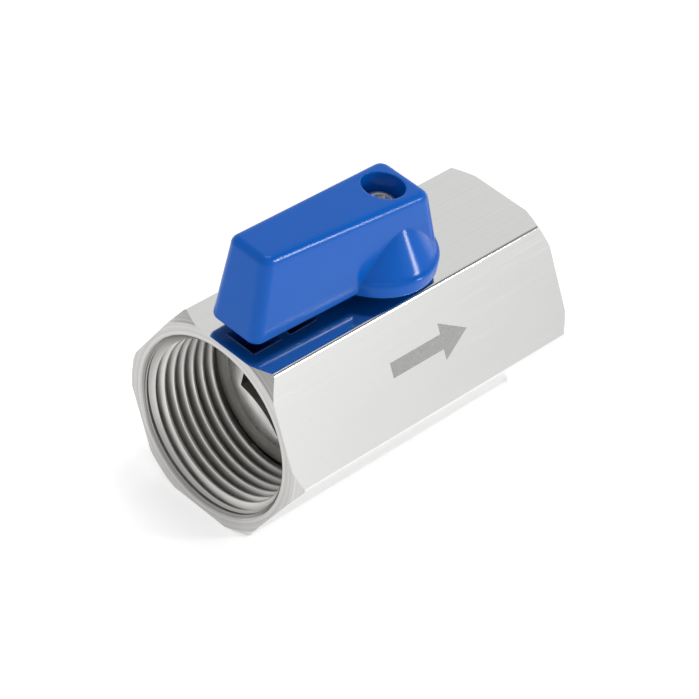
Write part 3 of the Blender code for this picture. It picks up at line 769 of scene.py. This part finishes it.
@dataclass
class Retainer:
    """Ring that holds ball and seats in: faced rim, bright dish, hexagonal key socket."""

    face_x: float = -14.4
    back_x: float = -8.396
    radius: float = 12.5
    dish: float = 10.0
    dish_slope: float = math.radians(24)
    flats: float = 15.2
    socket_depth: float = 4.2
    port: float = 6.9
    turned: float = math.radians(3)

    def build(self) -> None:
        """Builds the ring and puts it in place."""
        ease, rim_margin = 0.2, 0.2
        steepest, shallowest = -0.95, -0.5  # range of a dished face's direction along the pipe
        dish_depth = (self.dish - self.port) * math.tan(self.dish_slope)
        profile = [(self.radius - ease, self.face_x), (self.dish, self.face_x),
                   (self.port, self.face_x + dish_depth),
                   (self.port, self.back_x), (self.radius - ease, self.back_x),
                   (self.radius, self.back_x - ease), (self.radius, self.face_x + ease)]
        place = Matrix.Translation((0, 0, AXIS_Z)) @ ALONG_PIPE @ Matrix.Rotation(-self.turned, 4, "Z")
        socket = prism(6, self.flats, self.face_x - 1, self.face_x + self.socket_depth,
                       place @ Matrix.Rotation(math.pi / 6, 4, "Z"))
        obj = carved("retainer_turned_ring", spun(profile, 128, True, (0, 0, AXIS_Z)),
                     [("DIFFERENCE", socket)])
        for finish in (RING_FACE, RING_DISH, RING_SOCKET):
            obj.data.materials.append(finish.make())
        for face in obj.data.polygons:
            centre = Vector(face.center) / MM - Vector((0, 0, AXIS_Z))
            round_axis = math.hypot(centre.y, centre.z)
            dished = self.port < round_axis < self.dish and steepest < face.normal.x < shallowest
            face.material_index = 1 if dished else 0 if round_axis > self.dish - rim_margin else 2
        shade(obj)
        install(obj, "valve", "retainer_ring")


@dataclass
class Seat:
    """PTFE ring with a spherical face against the ball."""

    name: str
    side: int
    sphere: float = 9.65
    bore: float = 6.9
    contact: float = 8.4
    outer: float = 9.6
    back: float = 8.596

    def build(self) -> None:
        """Builds the ring and puts it in place."""
        radii = [self.bore + (self.contact - self.bore) * i / 10 for i in range(11)]
        face = [(r, -math.sqrt(self.sphere**2 - r * r)) for r in radii]
        ease = 0.25
        profile = [(self.outer - ease, face[-1][1]), (self.outer, face[-1][1] - ease),
                   (self.outer, ease - self.back), (self.outer - ease, -self.back),
                   (self.bore + ease, -self.back), (self.bore, ease - self.back)] + face
        bm = spun(profile, 96, True)
        if self.side > 0:
            bm.transform(Matrix.Rotation(math.pi, 4, "Z"))
        bm.transform(Matrix.Translation((STEM_X, 0, AXIS_Z)))
        obj = piece_from(f"{self.name}_skived", bm)
        obj.data.materials.append(SEAT_WHITE.make())
        shade(obj)
        install(obj, "valve", self.name)


@dataclass
class Ball:
    """Mirror polished ball with its port and the slot its stem turns it by."""

    radius: float = 9.5
    port: float = 6.6
    slot_width: float = 3.8
    slot_floor: float = 7.6
    ease: float = 0.15

    def build(self) -> None:
        """Builds the ball and puts it in place."""
        reach, mouth = self.radius + 1, math.sqrt(self.radius**2 - self.port**2)
        place = Matrix.Translation((STEM_X, 0, AXIS_Z))
        bm = bmesh.new()
        bmesh.ops.create_uvsphere(bm, u_segments=96, v_segments=48, radius=self.radius, matrix=place)
        flare = (self.port + reach - mouth + self.ease, reach)
        half = [(0, reach), flare, (self.port, mouth - self.ease)]
        profile = half + [(r, -x) for r, x in half[::-1]]
        port = spun(profile, 96, True, (STEM_X, 0, AXIS_Z))
        side = self.slot_width / 2
        slot = block((-side, -reach, self.slot_floor), (side, reach, reach), place)
        obj = carved("ball_polished", bm, [("DIFFERENCE", port), ("DIFFERENCE", slot)])
        obj.data.materials.append(BALL_MIRROR.make())
        shade(obj)
        install(obj, "ball", "ball")


# ---------------------------------------------------------------- stem and its small parts


@dataclass
class StemSet:
    """Stem, its washer and O-ring, and the travel stop pin."""

    stem_radius: float = 3.5
    collar: float = 5.0
    top: float = 36.4
    collar_z: Point = (24.6, 26.0)
    tongue: tuple[float, float, float] = (1.6, 3.7, 22.4)
    seal_z: float = 27.95
    seal_section: float = 0.5
    square: float = 5.0
    square_z: float = 29.6
    tapped: Point = (1.55, 30.6)

    def stem(self) -> None:
        """Builds the stem with its tongue, groove, square and tapped hole."""
        groove, half = 2.5, 0.65
        radius, ease = self.stem_radius, 0.35
        profile = [(0, self.top), (radius - ease, self.top), (radius, self.top - ease),
                   (radius, self.seal_z + half), (groove, self.seal_z + half),
                   (groove, self.seal_z - half), (radius, self.seal_z - half),
                   (radius, self.collar_z[1]), (self.collar - 0.2, self.collar_z[1]),
                   (self.collar, self.collar_z[1] - 0.2), (self.collar, self.collar_z[0]),
                   (0, self.collar_z[0])]
        place = Matrix.Translation((STEM_X, 0, 0))
        wide, long, low = self.tongue
        tongue = block((-wide, -long, low), (wide, long, self.collar_z[0] + 0.7), place)
        steps = [("UNION", tongue)]
        for quarter in range(4):
            spot = place @ Matrix.Rotation(quarter * math.pi / 2, 4, "Z")
            steps.append(("DIFFERENCE", block((self.square / 2, -6, self.square_z), (6, 6, 40), spot)))
        radius, low = self.tapped
        hole = [(0, 38), (radius + 2, 38), (radius, self.top - 0.4), (radius, low), (0, low - 0.6)]
        steps.append(("DIFFERENCE", spun(hole, 48, False, (STEM_X, 0, 0))))
        obj = carved("stem_turned", spun(profile, 64, False, (STEM_X, 0, 0)), steps)
        obj.data.materials.append(STEM_METAL.make())
        shade(obj)
        install(obj, "lever", "stem")

    def washer(self) -> None:
        """Builds the thrust washer."""
        ease, low, high, inner = 0.12, 26.15, 26.75, self.stem_radius + 0.15
        profile = [(self.collar - ease, high), (self.collar, high - ease), (self.collar, low + ease),
                   (self.collar - ease, low), (inner, low), (inner, high)]
        obj = piece_from("thrust_washer_filled", spun(profile, 64, False, (STEM_X, 0, 0)))
        obj.data.materials.append(WASHER_WHITE.make())
        shade(obj)
        install(obj, "lever", "stem_thrust_washer")

    def seal(self) -> None:
        """Builds the O-ring."""
        profile = arc((3.15, self.seal_z), self.seal_section, 90, -255, 23)
        obj = piece_from("stem_seal_ring", spun(profile, 64, False, (STEM_X, 0, 0)))
        obj.data.materials.append(SEAL_BLACK.make())
        shade(obj)
        install(obj, "lever", "stem_o_ring")

    def pin(self) -> None:
        """Builds the travel stop pin with its domed top."""
        radius, low, high, ease = 1.2, 27.0, 31.8, 0.3
        profile = [(0, high)] + arc((radius - ease, high - ease), ease, 90, 0, 5)
        profile += [(radius, low + ease), (radius - ease, low), (0, low)]
        obj = piece_from("stop_pin_ground", spun(profile, 48, False, (*STOP_PIN_PLACE, 0)))
        obj.data.materials.append(PIN_METAL.make())
        shade(obj)
        install(obj, "valve", "stop_pin")

    def build(self) -> None:
        """Builds all four."""
        self.stem()
        self.washer()
        self.seal()
        self.pin()


# ---------------------------------------------------------------- lever


@dataclass
class Lever:
    """Blue moulded lever: tapering bar, conical boss and flange, cored out underneath."""

    base_z: float = 30.6
    top_z: float = 42.67
    rise: float = 0.06
    tip_x: Point = (-25.3, -26.1)
    heel_x: Point = (5.15, 9.0)
    tip_half: Point = (3.6, 4.45)
    heel_half: Point = (4.75, 5.45)
    corner: float = 1.6
    edge: float = 1.15
    foot: float = 0.75
    flange: float = 9.2
    flange_top: float = 32.9
    cone: Point = (8.65, 2.9)
    cone_height: float = 8.0
    screw_hole: float = 3.1
    shelf: Point = (36.7, 37.92)
    shank_hole: float = 1.7
    square: float = 5.6
    slot_top: float = 32.1
    pocket_x: tuple[Point, ...] = ((-23.9, -18.7), (-17.1, -11.9))

    def top_at(self, x: float) -> float:
        """Height of the sloping top face."""
        return self.top_z - self.rise * (x - STEM_X)

    def bar(self) -> bmesh.types.BMesh:
        """The tapering bar with its rounded corners and edges."""
        bm = bmesh.new()
        bmesh.ops.create_cube(bm, size=2)
        for vert in bm.verts:
            low = 0 if vert.co.z > 0 else 1
            ends, halves = (self.heel_x, self.heel_half) if vert.co.x > 0 else (self.tip_x, self.tip_half)
            height = self.base_z if low else self.top_at(ends[0])
            vert.co = (ends[low], math.copysign(halves[low], vert.co.y), height)
        middle = (self.base_z + self.top_z) / 2
        bevelled(bm, lambda e: (e.verts[0].co.z > middle) != (e.verts[1].co.z > middle), self.corner, 8)
        bm.normal_update()
        bevelled(bm, lambda e: any(f.normal.z > 0.95 for f in e.link_faces)
                 and not all(f.normal.z > 0.95 for f in e.link_faces), self.edge, 6)
        bm.normal_update()
        bevelled(bm, lambda e: any(f.normal.z < -0.95 for f in e.link_faces)
                 and not all(f.normal.z < -0.95 for f in e.link_faces), self.foot, 5)
        return bm

    def boss(self) -> bmesh.types.BMesh:
        """Cone and flange, with a small fillet where they meet and rounded rims."""
        rim, foot, fillet = 0.6, 0.3, 0.5
        top = self.flange_top + self.cone_height
        slope = (self.cone[0] - self.cone[1]) / self.cone_height
        profile = [(0, top), (self.cone[1], top),
                   (self.cone[0] - fillet * slope, self.flange_top + fillet),
                   (self.cone[0] - 0.12, self.flange_top + 0.12), (self.cone[0] + 0.05, self.flange_top)]
        profile += arc((self.flange - rim, self.flange_top - rim), rim, 90, 0, 6)
        profile += arc((self.flange - foot, self.base_z + foot), foot, 0, -90, 4)
        profile.append((0, self.base_z))
        return spun(profile, 128, False, (STEM_X, 0, 0))

    def pockets(self) -> list[bmesh.types.BMesh]:
        """The hollows cored out of the arm, narrowing upwards."""
        made = []
        for first, last in self.pocket_x:
            bm = bmesh.new()
            bmesh.ops.create_cube(bm, size=2)
            for vert in bm.verts:
                x = last if vert.co.x > 0 else first
                up = vert.co.z > 0
                half = 2.2 if up else 2.6
                vert.co = (x, math.copysign(half, vert.co.y), self.top_at(x) - 2.4 if up else BELOW_LEVER)
            made.append(bm)
        return made

    def stop_slot(self) -> bmesh.types.BMesh:
        """Quarter-turn slot under the flange."""
        spare = math.degrees(1.5 / 7.1)
        outline = arc((0, 0), 8.6, 45 - spare, 135 + spare, 32)
        outline += arc((0, 0), 5.6, 135 + spare, 45 - spare, 32)
        around_stem = [(x + STEM_X, y) for x, y in outline]
        return slab(around_stem, BELOW_LEVER, self.slot_top - BELOW_LEVER)

    def build(self) -> None:
        """Builds the lever and puts it in place."""
        stem = (STEM_X, 0, 0)
        ease, below_shelf = 0.3, 36.2
        hole = [(0, ABOVE_LEVER), (self.screw_hole, ABOVE_LEVER),
                (self.screw_hole, self.shelf[1] + ease), (self.screw_hole - ease, self.shelf[1]),
                (0, self.shelf[1])]
        shank = [(0, ABOVE_LEVER), (self.shank_hole, ABOVE_LEVER), (self.shank_hole, below_shelf),
                 (0, below_shelf)]
        side = self.square / 2
        steps = [("UNION", self.boss()), ("DIFFERENCE", spun(hole, 96, False, stem)),
                 ("DIFFERENCE", spun(shank, 48, False, stem)),
                 ("DIFFERENCE", block((-side, -side, BELOW_LEVER), (side, side, self.shelf[0]),
                                      Matrix.Translation(stem))),
                 ("DIFFERENCE", self.stop_slot())]
        steps += [("DIFFERENCE", pocket) for pocket in self.pockets()]
        obj = carved("lever_moulded", self.bar(), steps)
        obj.data.materials.append(LEVER_BLUE.make())
        shade(obj, SMOOTH_BELOW)
        install(obj, "lever", "handle")


@dataclass
class LeverScrew:
    """Pan head screw with a cross recess."""

    top: float = 40.17
    head: Point = (2.8, 38.07)
    shank: Point = (1.4, 31.4)
    crown_flat: float = 1.5
    crown_drop: float = 1.2
    recess: tuple[float, float, float] = (0.75, 3.1, 1.1)
    turned: float = math.radians(28)

    def build(self) -> None:
        """Builds the screw and puts it in place."""
        crown = [(0.0, self.top)]
        for step in range(11):
            angle = math.pi / 2 * (1 - step / 10)
            crown.append((self.crown_flat + (self.head[0] - self.crown_flat) * math.cos(angle),
                          self.top - self.crown_drop * (1 - math.sin(angle))))
        radius, foot = self.shank
        profile = crown + [(self.head[0], self.head[1] + 0.1), (self.head[0] - 0.1, self.head[1]),
                           (radius, self.head[1]), (radius, foot + 0.4), (radius - 0.4, foot), (0, foot)]
        wide, long, deep = self.recess
        place = Matrix.Translation((STEM_X, 0, 0)) @ Matrix.Rotation(self.turned, 4, "Z")
        low, high = self.top - deep, self.top + 1
        arms = [block((-long / 2, -wide / 2, low), (long / 2, wide / 2, high), place),
                block((-wide / 2, -long / 2, low), (wide / 2, long / 2, high), place)]
        pit_mouth, pit_foot, pit_floor = 1.1 + 0.6, 0.55, low - 0.4
        pit = spun([(0, high), (pit_mouth, high), (pit_foot, pit_floor), (0, pit_floor)], 24, False,
                   (STEM_X, 0, 0))
        steps = [("DIFFERENCE", arm) for arm in arms] + [("DIFFERENCE", pit)]
        obj = carved("lever_screw_pan_head", spun(profile, 64, False, (STEM_X, 0, 0)), steps)
        obj.data.materials.append(SCREW_METAL.make())
        shade(obj)
        install(obj, "lever", "handle_screw")


# ---------------------------------------------------------------- studio


@dataclass(frozen=True)
class Lamp:
    """A soft box: where it hangs, its size and its power."""

    name: str
    place: tuple[float, float, float]
    size: Point
    power: float


@dataclass(frozen=True)
class Panel:
    """A pale or a dark stretch of studio wall: its direction, its fading angles and its glow."""

    toward: tuple[float, float, float]
    inner: float
    outer: float
    glow: float


@dataclass
class Studio:
    """Pale floor, soft lights and the camera."""

    azimuth: float = 0.9127
    elevation: float = 0.6945
    roll: float = 0.1740
    distance: float = 0.43370
    shift: Point = (0.0139 * 0.029, 0.0114 * 0.029)
    lens: float = 160.95
    floor_side: float = 6.0
    floor_drop: float = 0.00002
    lights: tuple[Lamp, ...] = (
        Lamp("key_softbox", (0.34, 0.12, 0.95), (0.4, 0.4), 2.8),
        Lamp("strip_softbox", (0.59, -0.735, 0.37), (0.12, 0.24), 3.2),
    )
    panels: tuple[Panel, ...] = (
        Panel((0.608, 0.470, 0.640), 14.0, 26.0, 0.2),
        Panel((0.400, -0.880, 0.110), 12.0, 26.0, 0.5),
        Panel((0.640, -0.765, -0.010), 2.0, 10.0, -0.35),
        Panel((0.608, -0.319, 0.726), 5.0, 15.0, -0.45),
    )
    overhead: float = 0.66
    horizon: float = 0.85

    def floor(self) -> None:
        """Lays the floor just under the valve."""
        bm = bmesh.new()
        bmesh.ops.create_grid(bm, x_segments=1, y_segments=1, size=self.floor_side / 2)
        bmesh.ops.translate(bm, vec=(0, 0, -self.floor_drop), verts=bm.verts)
        mesh = bpy.data.meshes.new("studio_floor")
        bm.to_mesh(mesh)
        bm.free()
        obj = bpy.data.objects.new("studio_floor", mesh)
        bpy.context.scene.collection.objects.link(obj)
        obj.data.materials.append(PAPER.make())

    def lamps(self) -> None:
        """Hangs the soft lights, each aimed at the valve."""
        for lamp in self.lights:
            light = bpy.data.lights.new(lamp.name, "AREA")
            light.shape = "RECTANGLE"
            light.size, light.size_y = lamp.size
            light.energy = lamp.power
            obj = bpy.data.objects.new(lamp.name, light)
            obj.location = lamp.place
            aim = Vector((0, 0, AXIS_Z * MM)) - Vector(lamp.place)
            obj.rotation_euler = aim.to_track_quat("-Z", "Y").to_euler()
            bpy.context.scene.collection.objects.link(obj)

    def sky(self) -> None:
        """Sets the studio's walls: lighter low down, with pale panels and dark ones."""
        world = bpy.data.worlds.new("studio")
        bpy.context.scene.world = world
        world.use_nodes = True
        tree = world.node_tree
        coords = add_node(tree, "ShaderNodeTexCoord")
        split = add_node(tree, "ShaderNodeSeparateXYZ", {}, {0: coords.outputs["Generated"]})
        total = add_node(tree, "ShaderNodeMapRange",
                         {"interpolation_type": "SMOOTHSTEP", "From Min": 0.0, "From Max": 0.9,
                          "To Min": self.horizon, "To Max": self.overhead}, {0: split.outputs["Z"]})
        for panel in self.panels:
            facing = add_node(tree, "ShaderNodeVectorMath",
                              {"operation": "DOT_PRODUCT", 1: Vector(panel.toward).normalized()},
                              {0: coords.outputs["Generated"]})
            glow = add_node(tree, "ShaderNodeMapRange",
                            {"interpolation_type": "SMOOTHSTEP",
                             "From Min": math.cos(math.radians(panel.outer)),
                             "From Max": math.cos(math.radians(panel.inner)),
                             "To Min": 0.0, "To Max": panel.glow}, {0: facing.outputs["Value"]})
            total = add_node(tree, "ShaderNodeMath", {"operation": "ADD"},
                             {0: total.outputs[0], 1: glow.outputs[0]})
        tree.links.new(total.outputs[0], tree.nodes["Background"].inputs["Strength"])
        tree.nodes["Background"].inputs["Color"].default_value = linear("FFFFFF")

    def camera(self) -> None:
        """Sets the camera where the valve is seen from above its inlet corner."""
        toward = Vector((-math.cos(self.elevation) * math.sin(self.azimuth),
                         -math.cos(self.elevation) * math.cos(self.azimuth), math.sin(self.elevation)))
        right = (-toward).cross(Vector((0, 0, 1))).normalized()
        up = right.cross(-toward)
        across = math.cos(self.roll) * right + math.sin(self.roll) * up
        upright = -math.sin(self.roll) * right + math.cos(self.roll) * up
        target = Vector((0, 0, AXIS_Z * MM))
        spot = target + toward * self.distance - across * self.shift[0] - upright * self.shift[1]
        data = bpy.data.cameras.new("camera")
        data.lens = self.lens
        data.clip_start = 0.01
        obj = bpy.data.objects.new("camera", data)
        turned = Matrix((across, upright, toward)).transposed().to_4x4()
        obj.matrix_world = Matrix.Translation(spot) @ turned
        bpy.context.scene.collection.objects.link(obj)
        bpy.context.scene.camera = obj

    def build(self) -> None:
        """Sets the whole studio."""
        self.floor()
        self.lamps()
        self.sky()
        self.camera()
        bpy.context.scene.view_settings.view_transform = "Standard"


def write_sizes() -> None:
    """Brings the view layer up to date."""
    bpy.context.view_layer.update()


def main() -> None:
    """Builds the valve piece by piece, then its studio."""
    logging.basicConfig(level=logging.INFO, format="%(message)s")
    parts = [ValveBody(), FlowMark(), Retainer(), Seat("seat_ring_inlet", -1),
             Seat("seat_ring_outlet", 1), Ball(), StemSet(), Lever(), LeverScrew(), Studio()]
    for part in parts:
        part.build()
    write_sizes()


if __name__ == "__main__":
    main()
